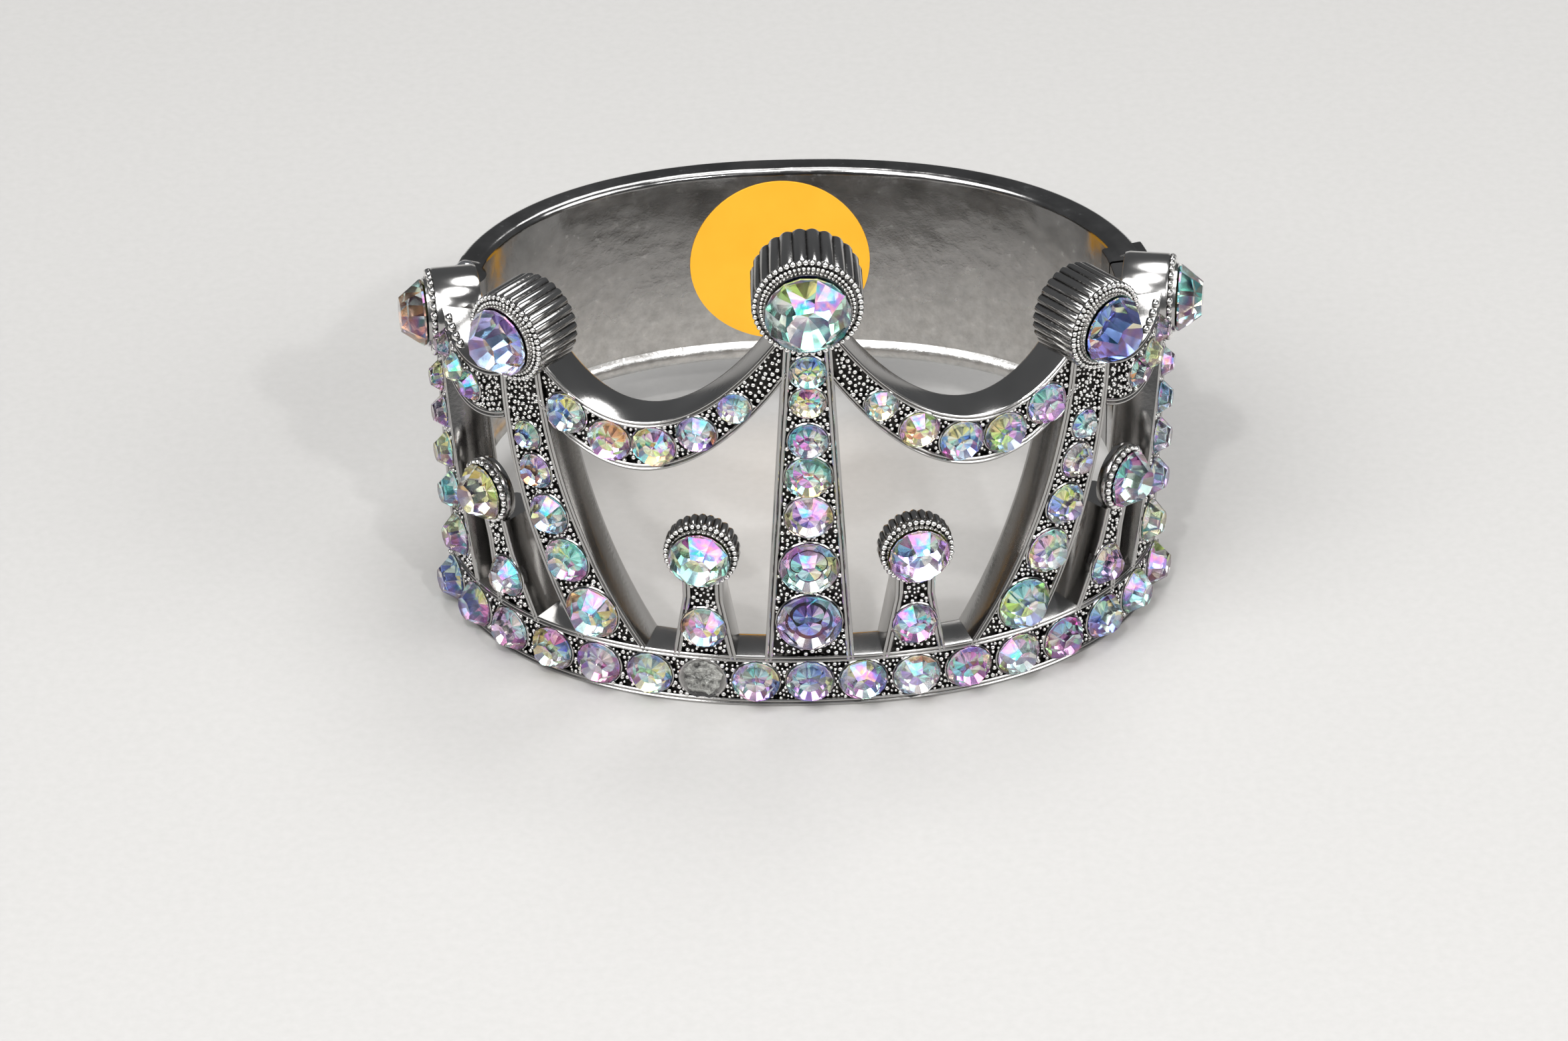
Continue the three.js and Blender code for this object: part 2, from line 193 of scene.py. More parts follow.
def arc(centre, radius, start, end, steps):
    """Points on an arc, in degrees."""
    turns = np.radians(np.linspace(start, end, steps + 1))
    return [(centre[0] + radius * math.cos(t), centre[1] + radius * math.sin(t)) for t in turns]


def circle(radius, out, sides):
    """A ring of (across, up, out) points. The radius may be one number or one for each side."""
    turns = np.arange(sides) * 2 * math.pi / sides
    return np.column_stack([radius * np.cos(turns), radius * np.sin(turns), np.full(sides, float(out))])


# ---- node tools ----
class Nodes:
    """A material's node tree, with short calls for the nodes that the looks are made of."""

    def __init__(self, name):
        self.material = bpy.data.materials.new(name)
        self.material.use_nodes = True
        self.tree = self.material.node_tree
        self.shader = self.tree.nodes["Principled BSDF"]
        self.place = self.node("ShaderNodeTexCoord").outputs["Object"]

    def node(self, kind, **settings):
        made = self.tree.nodes.new(kind)
        for key, value in settings.items():
            setattr(made, key, value)
        return made

    def feed(self, socket, value):
        if isinstance(value, bpy.types.NodeSocket):
            self.tree.links.new(value, socket)
        else:
            socket.default_value = value

    def set(self, **inputs):
        for name, value in inputs.items():
            self.feed(self.shader.inputs[name.replace("_", " ")], value)

    def noise(self, size_mm, detail=2.0, roughness=0.5):
        """Noise whose blotches are about size_mm across."""
        made = self.node("ShaderNodeTexNoise")
        self.feed(made.inputs["Vector"], self.place)
        made.inputs["Scale"].default_value = 1 / (size_mm * MM)
        made.inputs["Detail"].default_value = detail
        made.inputs["Roughness"].default_value = roughness
        return made.outputs["Fac"]

    def spread(self, value, low, high, to_low, to_high):
        made = self.node("ShaderNodeMapRange")
        for name, given in zip(("Value", "From Min", "From Max", "To Min", "To Max"),
                               (value, low, high, to_low, to_high)):
            self.feed(made.inputs[name], given)
        return made.outputs["Result"]

    def math(self, operation, a, b):
        made = self.node("ShaderNodeMath", operation=operation)
        self.feed(made.inputs[0], a)
        self.feed(made.inputs[1], b)
        return made.outputs[0]

    def mix(self, share, a, b):
        made = self.node("ShaderNodeMix", data_type="RGBA")
        self.feed(made.inputs["Factor"], share)
        for name, value in (("A", a), ("B", b)):
            socket = [s for s in made.inputs if s.name == name and s.type == "RGBA"][0]
            self.feed(socket, value if isinstance(value, bpy.types.NodeSocket) else (*value, 1))
        return [s for s in made.outputs if s.type == "RGBA"][0]

    def attribute(self, name, output="Fac"):
        return self.node("ShaderNodeAttribute", attribute_name=name).outputs[output]

    def bump(self, height, strength, depth_mm, under=None):
        made = self.node("ShaderNodeBump")
        self.feed(made.inputs["Height"], height)
        self.feed(made.inputs["Strength"], strength)
        made.inputs["Distance"].default_value = depth_mm * MM
        if under is not None:
            self.feed(made.inputs["Normal"], under)
        return made.outputs["Normal"]


# ---- materials ----
def plating_material():
    """Gunmetal plating, blackened where the relief is low, and painted near-white as a highlight where the
    relief is above 1, on the beads' tops.
    """
    n = Nodes("plating")
    relief = n.attribute("relief")
    grain = n.noise(0.35, 3)
    cloud = n.noise(6, 2)
    raised = n.spread(n.math("ADD", relief, n.math("MULTIPLY", grain, 0.25)), 0.2, 0.65, 0, 1)
    silver = n.mix(cloud, (0.35, 0.345, 0.335), (0.5, 0.49, 0.48))
    # Painted highlight: relief above 1, on the tops of the beads, lightens the colour towards near-white.
    bead_top_painted_highlight = n.mix(n.spread(relief, 1.0, 2.0, 0, 1), silver, (0.96, 0.95, 0.93))
    n.set(Base_Color=n.mix(raised, (0.04, 0.038, 0.036), bead_top_painted_highlight), Metallic=1.0)
    n.set(Roughness=n.math("ADD", n.spread(raised, 0, 1, 0.3, 0.12), n.spread(cloud, 0.35, 0.7, 0, 0.07)))
    n.set(Normal=n.bump(grain, n.spread(raised, 0, 1, 0.9, 0.04), 0.12))
    return n.material


def band_material():
    """Polished plating, clouded by tarnish, with a few worn spots, and a rolled lip painted bright and uneven
    as a highlight.
    """
    n = Nodes("band_plating")
    cloud = n.noise(5, 4, 0.6)
    spots = n.noise(1.1, 4, 0.65)
    ripple = n.noise(6, 2)
    worn = n.spread(spots, 0.62, 0.72, 0, 1)
    tarnish = n.mix(n.spread(cloud, 0.3, 0.7, 0, 1), (0.2, 0.197, 0.193), (0.34, 0.335, 0.33))
    inside = n.mix(worn, tarnish, (0.45, 0.45, 0.44))
    lip = n.attribute("relief")
    # Painted highlight: the lip's colour is lightened, unevenly, into a bright strip.
    lip_painted_highlight = n.mix(spots, (0.35, 0.345, 0.335), (0.85, 0.84, 0.82))
    n.set(Base_Color=n.mix(lip, inside, lip_painted_highlight), Metallic=1.0)
    n.set(Roughness=n.math("ADD", n.spread(cloud, 0.3, 0.75, 0.1, 0.2), n.spread(lip, 0, 1, 0, 0.2)))
    n.set(Normal=n.bump(spots, n.spread(lip, 0, 1, 0.08, 0.7), 0.15, n.bump(ripple, 0.6, 0.4)))
    return n.material


def glass_material():
    """The clear crown of a crystal, each facet tinted, with a thin coating that splits the light."""
    n = Nodes("crystal_glass")
    smudge = n.noise(1.3, 2)
    n.set(Base_Color=n.attribute("tint", "Color"), Transmission_Weight=1.0, IOR=1.56)
    n.set(Roughness=n.spread(smudge, 0.4, 0.8, 0.0, 0.03))
    n.set(Thin_Film_Thickness=n.spread(smudge, 0.2, 0.8, 240.0, 360.0), Thin_Film_IOR=1.9)
    return n.material


def foil_material():
    """The coloured mirror behind a crystal: each facet has its own tint, broken by faint pale streaks."""
    n = Nodes("crystal_foil")
    streak = n.noise(2.2, 1, 0.5)
    tint = n.attribute("tint", "Color")
    n.set(Base_Color=n.mix(n.spread(streak, 0.5, 0.7, 0, 0.3), tint, (0.9, 0.93, 0.97)), Metallic=1.0)
    n.set(Roughness=n.spread(streak, 0.3, 0.7, 0.1, 0.25))
    return n.material


def paper_material():
    """Yellow label stock: fine fibres and a faint cloud."""
    n = Nodes("label_paper")
    cloud = n.noise(5, 3)
    fibre = n.noise(0.16, 3, 0.7)
    n.set(Base_Color=n.mix(cloud, (0.9, 0.4, 0.012), (0.95, 0.5, 0.03)))
    n.set(Roughness=n.spread(fibre, 0.3, 0.7, 0.5, 0.7), Normal=n.bump(fibre, 0.25, 0.03))
    return n.material


def steel_material(name, colour, rough):
    """Plain bright metal with a fine, shallow grain."""
    n = Nodes(name)
    grain = n.noise(0.4, 4)
    n.set(Base_Color=n.mix(grain, tuple(0.8 * c for c in colour), colour), Metallic=1.0)
    n.set(Roughness=n.spread(grain, 0.3, 0.7, rough, rough + 0.15), Normal=n.bump(grain, 0.15, 0.05))
    return n.material


def glue_material():
    """Old grey cement left in the empty seat."""
    n = Nodes("dry_cement")
    lump = n.noise(0.8, 4, 0.65)
    n.set(Base_Color=n.mix(n.spread(lump, 0.35, 0.65, 0, 1), (0.05, 0.05, 0.048), (0.5, 0.5, 0.47)))
    n.set(Roughness=n.spread(lump, 0.3, 0.7, 0.25, 0.6), Metallic=0.4, Normal=n.bump(lump, 1.0, 0.5))
    return n.material


PLATING = plating_material()
BAND_PLATING = band_material()
GLASS = glass_material()
FOIL = foil_material()
PAPER = paper_material()
STEEL = steel_material("pin_steel", (0.8, 0.8, 0.82), 0.12)
NICKEL = steel_material("magnet_nickel", (0.5, 0.5, 0.54), 0.22)
CEMENT = glue_material()


# ---- the layout, read from the stones' places ----
def stone_place(node):
    """(along, up, size) of a stone's CAD node."""
    low, high = box_mm(node)
    middle = (low + high) / 2
    return FRONT.along_at(middle.x, middle.y), middle.z, high.z - low.z


# Each stone's place along the wall and up, its size, and how far out the face is that it is set in.
STONES = {node: (*stone_place(node), 0.0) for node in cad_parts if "stone" in node}
PITCH = STONES["base_stone_right_1"][0]
BASE_UP, BASE_SIZE = STONES["base_stone_middle"][1:3]
EMPTY_SEAT = (-2 * PITCH, BASE_UP, BASE_SIZE)
PAST_LAST_STONE = 3.2
RING_END = STONES["base_stone_right_8"][0] + PAST_LAST_STONE
# How far the girdle of a stone stands above its seat, where a setting holds it high.
PROUD = {}


class Spire:
    """An upright of the crown: its middle line, its width at a height, and the setting on its top.

    The middle line runs through the stones, or leans out evenly where lean is given.
    """

    # The column ends under its setting, this share of the setting's radius below the middle. It may
    # flare out below the flare height.
    below_setting, flare_height = 0.75, 12

    def __init__(self, name, width, flare, taper, setting, lean=None):
        top_node = f"{name}_top_stone"
        column = [node for node in STONES if node.startswith(f"{name}_stone_")]
        self.name, self.width, self.flare, self.taper = name, width, flare, taper
        self.along, self.up, self.stone = STONES[top_node][:3]
        self.face, self.back, self.rim, self.ribs, self.proud = setting
        self.radius = self.stone / 2 + self.rim
        self.top = self.up - self.radius * self.below_setting
        STONES[top_node] = (self.along, self.up, self.stone, self.face)
        PROUD[top_node] = self.proud
        if lean is None:
            places = [STONES[node] for node in column] + [STONES[top_node]]
            curve = min(2, len(places) - 1)
            self.line = np.polyfit([p[1] for p in places], [p[0] for p in places], curve)
        else:
            side = math.copysign(1, self.along)
            self.line = np.array([side * lean, self.along - side * lean * self.up])

    def middle(self, up):
        return np.polyval(self.line, up)

    def half(self, up):
        return (self.width - self.taper * up + self.flare * np.maximum(0, self.flare_height - up)) / 2


OUTER_LEAN = 0.31
# A setting is its face and back (out of the wall), the width of its rim round the stone, its number of
# ribs, and how much prouder than a low stone its own one is held.
SPIRES = [Spire("centre", 9.2, 0, 0.115, (BARREL_OUT, -WALL, 1.2, 24, 1.0))]
for SIDE in ("left", "right"):
    SPIRES += [
        Spire(f"tall_{SIDE}", 7.8, 0, 0.075, (BARREL_OUT, 0.4 - WALL, 1.1, 28, 0.8)),
        Spire(f"outer_{SIDE}", 5.8, 0, 0.05, (0.5, -WALL, 1.0, 0, 0.6), OUTER_LEAN),
        Spire(f"short_{SIDE}", 3.9, 0.35, 0, (0.5, -1.6, 0.7, 26, 0.7)),
        Spire(f"outer_short_{SIDE}", 3.7, 0.3, 0, (0.2, -1.1, 0.5, 0, 0.3)),
    ]
SPIRE = {spire.name: spire for spire in SPIRES}


class Swag:
    """A hanging band of the crown: a parabola from start to end along the wall.

    Its lowest place along the wall is as high as level. Its stones are {place along the wall: size}.
    """

    depth, sag = 5.5, 0.051

    def __init__(self, name, side, start, end, lowest, level, stones):
        self.name, self.side, self.start, self.end = name, side, start, end
        self.lowest, self.level, self.stones = lowest, level, stones

    def height(self, along):
        return self.level + self.sag * (np.abs(along) - self.lowest) ** 2


SWAG_STONES = {6.8: 3.2, 10.4: 3.8, 14.5: 4.25, 18.9: 4.3, 23.3: 4.2}
OUTER_SWAG_STONES = {36: 3.0, 39: 3.1, 41.9: 2.8}
SWAGS = []
for SIDE, SIGN in (("left", -1), ("right", 1)):
    SWAGS += [
        Swag(f"swag_{SIDE}", SIGN, 2.0, 26.7, 17, 28.6, SWAG_STONES),
        Swag(f"outer_swag_{SIDE}", SIGN, 30.9, 44, 36.6, 28.2, OUTER_SWAG_STONES),
    ]

# The CAD part has no solids for the stones of the swags, nor for these up the outer spires {height: size}.
OUTER_COLUMN = {9: 4.2, 13.3: 3.8, 17.2: 3.6, 20.9: 3.2, 24.3: 3}

for SWAG in SWAGS:
    for i, (ALONG, SIZE) in enumerate(SWAG.stones.items()):
        HEIGHT = float(SWAG.height(ALONG))
        STONES[f"{SWAG.name}_stone_{i + 1}"] = (SWAG.side * ALONG, HEIGHT, SIZE, 0.0)
for SIDE in ("left", "right"):
    SPIRE_HERE = SPIRE[f"outer_{SIDE}"]
    for i, (UP, SIZE) in enumerate(OUTER_COLUMN.items()):
        STONES[f"outer_{SIDE}_stone_{i + 1}"] = (float(SPIRE_HERE.middle(UP)), UP, SIZE, 0.0)


# ---- the casting ----
# The cup under a stone is flat as far out as the valley of the stone's foil, a share of the radius. Its
# depth is a share of the stone's size.
VALLEY, CUP_DEPTH = 0.45, 0.14
# The radius of a rail, and the width of the two that run side by side along each edge.
RAIL = 0.2
RAIL_PAIR = 4 * RAIL
GROOVE_RELIEF = 0.35
# A channel is closed by a last loop this far past its end.
END_CAP = 0.1
RING_STEPS, SPIRE_STEPS, SWAG_STEPS = 121, 24, 41


def channel(half):
    """A wall section (across, out): two thin rails at each edge, a sunk ground between and a rounded back."""
    crest = 0.06
    round_back = 0.7
    rounds = [arc((place, crest - RAIL), RAIL, 180, 0, 5)
              for place in (-half + RAIL, -half + 3 * RAIL, half - 3 * RAIL, half - RAIL)]
    left, right = rounds[0] + rounds[1], rounds[2] + rounds[3]
    ground = [(-half + RAIL_PAIR + 0.05, GROUND), (half - RAIL_PAIR - 0.05, GROUND)]
    back_right = arc((half - round_back, round_back - WALL), round_back, 0, -90, 4)
    back_left = arc((-half + round_back, round_back - WALL), round_back, -90, -180, 4)
    return np.array(left + ground + right + back_right + back_left)


def channel_relief(section):
    """1 on the rails and the back, 0 on the ground, and between them in the groove of two rails."""
    at_groove = np.isclose(np.abs(section[:, 0]), np.max(section[:, 0]) - 2 * RAIL)
    groove = at_groove & (section[:, 1] > -WALL / 2)
    return np.where(section[:, 1] == GROUND, 0.0, np.where(groove, GROOVE_RELIEF, 1.0))


def flat_loop(along, up, out):
    """A loop of bent points. Any of the three may be one number for the whole loop."""
    return bend(np.column_stack(np.broadcast_arrays(along, up, out)))


def ring_channel(pile):
    section = channel(RING_HEIGHT / 2)
    last = RING_END + END_CAP
    loops = [flat_loop(along, section[:, 0] + RING_HEIGHT / 2, section[:, 1])
             for along in [-last, *np.linspace(-RING_END, RING_END, RING_STEPS), last]]
    relief = np.tile(channel_relief(section), len(loops))
    relief[:len(section)] = relief[-len(section):] = 1.0
    pile.add(*loft(loops), relief=relief)


def spire_channel(pile, spire):
    start = RING_HEIGHT - 0.5
    loops = []
    for up in [*np.linspace(start, spire.top, SPIRE_STEPS), spire.top + END_CAP]:
        section = channel(float(spire.half(up)))
        loops.append(flat_loop(section[:, 0] + spire.middle(up), up, section[:, 1]))
    relief = np.tile(channel_relief(section), len(loops))
    relief[-len(section):] = 1.0
    pile.add(*loft(loops), relief=relief)


def swag_channel(pile, swag):
    section = channel(swag.depth / 2)
    loops = [flat_loop(swag.side * along, section[:, 0] + swag.height(along), section[:, 1])
             for along in np.linspace(swag.start, swag.end, SWAG_STEPS)]
    pile.add(*loft(loops), relief=np.tile(channel_relief(section), len(loops)))


def barrel(pile, spire):
    """The round setting on a spire: ribbed or plain outside, with a cup and a thin collar round the stone."""
    sides = 8 * max(spire.ribs, 12)
    plain = np.ones(sides)
    rib = np.abs(np.sin(np.arange(sides) * math.pi * spire.ribs / sides)) if spire.ribs else plain
    deep = 0.24 if spire.ribs else 0
    r, cup = spire.radius, spire.stone / 2
    ribbed = r - deep * (1 - rib)
    back, face = spire.back, spire.face
    collar = face + 0.9 * spire.proud
    floor_out = face - CUP_DEPTH * spire.stone
    rows = [
        (ribbed - 0.6, back, plain), (ribbed - 0.5, back + 0.01, plain),
        (ribbed - 0.12, back + 0.12, rib), (ribbed, back + 0.5, rib),
        (ribbed, (back + face) / 2, rib), (ribbed, face - 0.5, rib), (ribbed - 0.1, face - 0.25, rib),
        (np.full(sides, r - 0.4), face - 0.2, np.full(sides, 0.2)),
        (np.full(sides, cup + 0.14), face - 0.25, np.full(sides, 0.3)),
        (np.full(sides, cup + 0.1), collar, plain),
        (np.full(sides, cup - 0.1), collar - 0.05, plain),
        (np.full(sides, VALLEY * cup), floor_out, np.zeros(sides)),
        (np.full(sides, 0.1), floor_out, np.zeros(sides)),
    ]
    points, faces = loft([circle(radius, out, sides) for radius, out, _ in rows])
    relief = np.concatenate([row[2] for row in rows])
    pile.add(on_wall(points, spire.along, spire.up), faces, relief=relief)


def seat(pile, along, up, size, face):
    """A thin cup round a stone, standing on the ground."""
    sides = 24
    r = size / 2
    floor_out = face - CUP_DEPTH * size
    rows = [
        (r + 0.16, face + GROUND - 0.1, 0.0), (r + 0.14, face - 0.06, 0.5), (r + 0.04, face + 0.03, 0.9),
        (r - 0.1, face - 0.03, 0.4), (VALLEY * r, floor_out, 0.0), (0.1, floor_out, 0.0),
    ]
    points, faces = loft([circle(np.full(sides, radius), out, sides) for radius, out, _ in rows])
    pile.add(on_wall(points, along, up), faces, relief=np.repeat([row[2] for row in rows], sides))


BEAD = 0.25
BEAD_SIDES = 7
# How many beads are thrown at a square millimetre. Most of them land on another and are left out.
THROWS = 60
# The least distance from a rail to the middle of a strewn bead.
FROM_RAIL = 0.3 * BEAD
# Each ring of a bead: its width and height as shares of the radius, and its relief. Relief above 1, on the
# top two rings, paints a highlight on the bead.
BEAD_RINGS = [(0.9, -0.4, 0.0), (1.0, 0.1, 0.7), (0.8, 0.6, 1.7), (0.35, 0.95, 2.0)]
BEAD_RELIEF = np.repeat([relief for _, _, relief in BEAD_RINGS], BEAD_SIDES)
rng = random.Random(11)


def bead(pile, along, up, offset, radius):
    """A small ball at an offset (across, up, out) from a place on the wall."""
    points, faces = loft([circle(radius * wide, radius * high, BEAD_SIDES) for wide, high, _ in BEAD_RINGS])
    pile.add(on_wall(points + np.array(offset), along, up), faces, relief=BEAD_RELIEF)


def free_of_stones(along, up, margin):
    """Whether a place is at least a margin away from every stone and setting."""
    for at, height, size, _ in [*STONES.values(), (*EMPTY_SEAT, 0.0)]:
        if math.hypot(along - at, up - height) < size / 2 + margin:
            return False
    return all(math.hypot(along - s.along, up - s.up) > s.radius + margin for s in SPIRES)


def strew(pile, inside, low, high):
    """Beads thrown over the part of a rectangle that is inside and clear of stones, none on another."""
    placed = []
    for _ in range(int((high[0] - low[0]) * (high[1] - low[1]) * THROWS)):
        along, up = rng.uniform(low[0], high[0]), rng.uniform(low[1], high[1])
        radius = BEAD * rng.uniform(0.55, 1.2)
        if not inside(along, up) or not free_of_stones(along, up, 0.75 * radius):
            continue
        if all(math.hypot(along - a, up - u) > radius + r for a, u, r in placed):
            placed.append((along, up, radius))
            bead(pile, along, up, (0, 0, GROUND + rng.uniform(0.3, 0.55)), radius)


def ring_beads(pile):
    edge = RAIL_PAIR + FROM_RAIL
    strew(pile, lambda along, up: True, (-RING_END + 0.3, edge), (RING_END - 0.3, RING_HEIGHT - edge))


def spire_beads(pile, spire):
    def inside(along, up):
        return abs(along - spire.middle(up)) < spire.half(up) - RAIL_PAIR - FROM_RAIL
    middle = spire.middle(RING_HEIGHT)
    reach = abs(spire.middle(spire.top) - middle) + spire.half(RING_HEIGHT)
    high = spire.up - spire.radius * 0.6
    strew(pile, inside, (middle - reach, RING_HEIGHT + 0.2), (middle + reach, high))


# A spire that ends below this height doesn't cross the swags, so it keeps none of their beads away.
SWAGS_FROM = 25


def swag_beads(pile, swag):
    crossing = [spire for spire in SPIRES if spire.top > SWAGS_FROM]

    def inside(along, up):
        across = abs(up - swag.height(along)) < swag.depth / 2 - RAIL_PAIR - FROM_RAIL
        return across and all(abs(along - s.middle(up)) > s.half(up) + 0.3 for s in crossing)
    ends = sorted((swag.side * swag.start, swag.side * swag.end))
    high = max(swag.height(swag.start), swag.height(swag.end)) + swag.depth / 2
    strew(pile, inside, (ends[0], swag.level - swag.depth / 2), (ends[1], high))


def barrel_beads(pile, spire):
    """A ring of touching beads on the rim of a setting, and a second, finer ring where it is wide."""
    size = 0.3 if spire.ribs else 0.42
    rows = [(spire.radius - size, size, -0.1)]
    if spire.rim > 1:
        rows.append((spire.stone / 2 + 0.3, 0.22, 0.0))
    for place, size, out in rows:
        count = round(math.pi * place / size)
        for i in range(count):
            turn = i * 2 * math.pi / count
            offset = (place * math.cos(turn), place * math.sin(turn), spire.face + out)
            bead(pile, spire.along, spire.up, offset, size * rng.uniform(0.85, 1.1))


EDGE_BEAD = 0.5
EDGE_PLACES = (38.8, 39.8, 40.8, 41.8)


def edge_beads(pile, swag):
    """A row of large beads on the top edge of an outer swag, beside the outer spire."""
    for along in EDGE_PLACES:
        edge = float(swag.height(along)) + swag.depth / 2
        bead(pile, swag.side * along, edge, (0, 0, -0.9 * EDGE_BEAD), EDGE_BEAD)


# ---- side plates, knuckles and catch ----
# Both joints are this far round the wall. The hinge's knuckles each take about a third of the height.
JOINT_ALONG = 57.4
KNUCKLE_RADIUS = 2.0
KNUCKLE_GAP = 0.25
HINGE_CLEARANCE = 0.45
THIRD = (BAND_HIGH.z - BAND_LOW.z) / 3
PIN_X, PIN_Y = (PIN_LOW.x + PIN_HIGH.x) / 2, (PIN_LOW.y + PIN_HIGH.y) / 2
# The outer and inner faces of the plates and of what ends them, out of the wall.
PLATE_FACES, CATCH_FACES, LEAF_FACES = (-1, -4), (-0.4, -4.6), (-1.2, -3.8)
# The plates start behind the outer spires, and are narrower than the band by a drop at both edges. Each
# runs this far into what ends it.
PLATE_START, PLATE_DROP, PLATE_STEPS = 42, 0.2, 25
OVERLAP = 1
CATCH_GAP, CATCH_LENGTH = 0.2, 3.2
# The hinge's leaves start and end this far from the joint. At the catch the band's wall starts as far
# from the joint.
LEAF_START, LEAF_END = 1.2, 3.4
PLATE_EDGE, FINE_EDGE = 0.5, 0.3
# A plate stands short of the heights that it is fitted between by this much, so that no faces meet.
INSET = 0.12


def rounded_box_section(low, high, outer, inner, edge):
    """A wall section (up, out) with rounded corners."""
    points = arc((high - edge, outer - edge), edge, 90, 0, 4)
    points += arc((high - edge, inner + edge), edge, 0, -90, 4)
    points += arc((low + edge, inner + edge), edge, -90, -180, 4)
    points += arc((low + edge, outer - edge), edge, 180, 90, 4)
    return np.array(points)


def plate(pile, side, start, end, low, high, faces, edge=FINE_EDGE):
    """A strip that follows the wall, kept just short of the heights that it is fitted between."""
    outer, inner = faces
    section = rounded_box_section(low + INSET, high - INSET, outer, inner, edge)
    loops = [flat_loop(side * along, section[:, 0], section[:, 1])
             for along in np.linspace(start, end, PLATE_STEPS)]
    pile.add(*loft(loops))


def upright(pile, rows):
    """A turned body on the hinge's axis: rows of (radius, height)."""
    sides = 32
    turns = np.arange(sides) * 2 * math.pi / sides
    loops = [np.column_stack([PIN_X + radius * np.cos(turns), PIN_Y + radius * np.sin(turns),
                              np.full(sides, height)])
             for radius, height in rows]
    pile.add(*loft(loops))


def knuckle(pile, low, high):
    """One barrel of the hinge, with chamfered ends."""
    r, chamfer, rise = KNUCKLE_RADIUS, 0.3, 0.25
    upright(pile, [(r - chamfer, low), (r, low + rise), (r, high - rise), (r - chamfer, high)])


casting = Pile()
ring_channel(casting)
for SPIRE_HERE in SPIRES:
    spire_channel(casting, SPIRE_HERE)
for SWAG in SWAGS:
    swag_channel(casting, SWAG)
HINGE_END = JOINT_ALONG - KNUCKLE_RADIUS - HINGE_CLEARANCE
for SIGN, PLATE_END in ((-1, HINGE_END), (1, JOINT_ALONG - OVERLAP)):
    plate(casting, SIGN, PLATE_START, PLATE_END, BAND_LOW.z + PLATE_DROP, BAND_HIGH.z - PLATE_DROP,
          PLATE_FACES, PLATE_EDGE)
plate(casting, 1, JOINT_ALONG - CATCH_LENGTH, JOINT_ALONG - CATCH_GAP, BAND_LOW.z, BAND_HIGH.z, CATCH_FACES)
MIDDLE_LOW, MIDDLE_HIGH = BAND_LOW.z + THIRD, BAND_HIGH.z - THIRD
plate(casting, -1, HINGE_END - OVERLAP, JOINT_ALONG - LEAF_START, MIDDLE_LOW, MIDDLE_HIGH, LEAF_FACES)
knuckle(casting, MIDDLE_LOW, MIDDLE_HIGH)
casting.piece("crown_body", [PLATING], "crown_front", ["crown_casting"])

barrels = Pile()
for SPIRE_HERE in SPIRES:
    barrel(barrels, SPIRE_HERE)
barrels.piece("crown_settings", [PLATING], "crown_front", ["crown_casting"], smooth=50)

seats = Pile()
for NODE, (ALONG, UP, SIZE, FACE) in STONES.items():
    if not NODE.endswith("_top_stone"):
        seat(seats, ALONG, UP, SIZE, FACE)
seat(seats, *EMPTY_SEAT, 0)
seats.piece("crown_seats", [PLATING], "crown_front", ["crown_casting"])

beads = Pile()
ring_beads(beads)
for SPIRE_HERE in SPIRES:
    spire_beads(beads, SPIRE_HERE)
    barrel_beads(beads, SPIRE_HERE)
for SWAG in SWAGS:
    swag_beads(beads, SWAG)
for SWAG in SWAGS:
    if SWAG.name.startswith("outer"):
        edge_beads(beads, SWAG)
beads.piece("crown_beads", [PLATING], "crown_front", ["crown_casting"], smooth=80)


# ---- the stones ----
TINTS = {
    "violet": (0.2, 0.04, 0.65), "blue": (0.03, 0.14, 0.85), "sky": (0.15, 0.5, 0.95),
    "cyan": (0.04, 0.65, 0.8), "aqua": (0.2, 0.85, 0.8), "teal": (0.02, 0.36, 0.3),
    "lilac": (0.55, 0.4, 0.95), "lime": (0.5, 0.75, 0.06), "gold": (0.9, 0.65, 0.06),
    "orange": (0.95, 0.35, 0.05), "magenta": (0.6, 0.03, 0.42), "clear": (0.85, 0.92, 0.95),
    "smoke": (0.08, 0.08, 0.1),
}
TINT_LIST = list(TINTS.values())
# How far the tints of the glass and the foil are paled, and how light they are.
TABLE_WHITE, TABLE_LIGHT = 0.9, 1.1
CROWN_WHITE, CROWN_LIGHT = 0.6, 1.2
FOIL_WHITE, FOIL_LIGHT_LOW, FOIL_LIGHT_HIGH = 0.2, 0.7, 3.4
# The second half of each facet of the foil is a little darker than the first: painted shade, as on the unlit
# side of a pleat.
FOIL_FOLD_PAINTED_SHADE = 0.8
# A stone has this many large facets, and its foil this many hues in its outer and inner facets.
FOLD = 8
OUTER_HUES, INNER_HUES = 5, 3
# The cut, as shares of a stone's size. The foil falls to the valley and rises to a peak.
GIRDLE_HEIGHT, TABLE_HEIGHT, GIRDLE_THICKNESS = 0.05, 0.37, 0.03
FOIL_DEPTH, PEAK_DEPTH = 0.12, 0.03
TABLE_WIDTH = 0.52


def washed(tint, white, light):
    """A tint paled by a share of white, then made lighter or darker by light."""
    return tuple(min(1.0, light * (white + (1 - white) * value)) for value in tint)


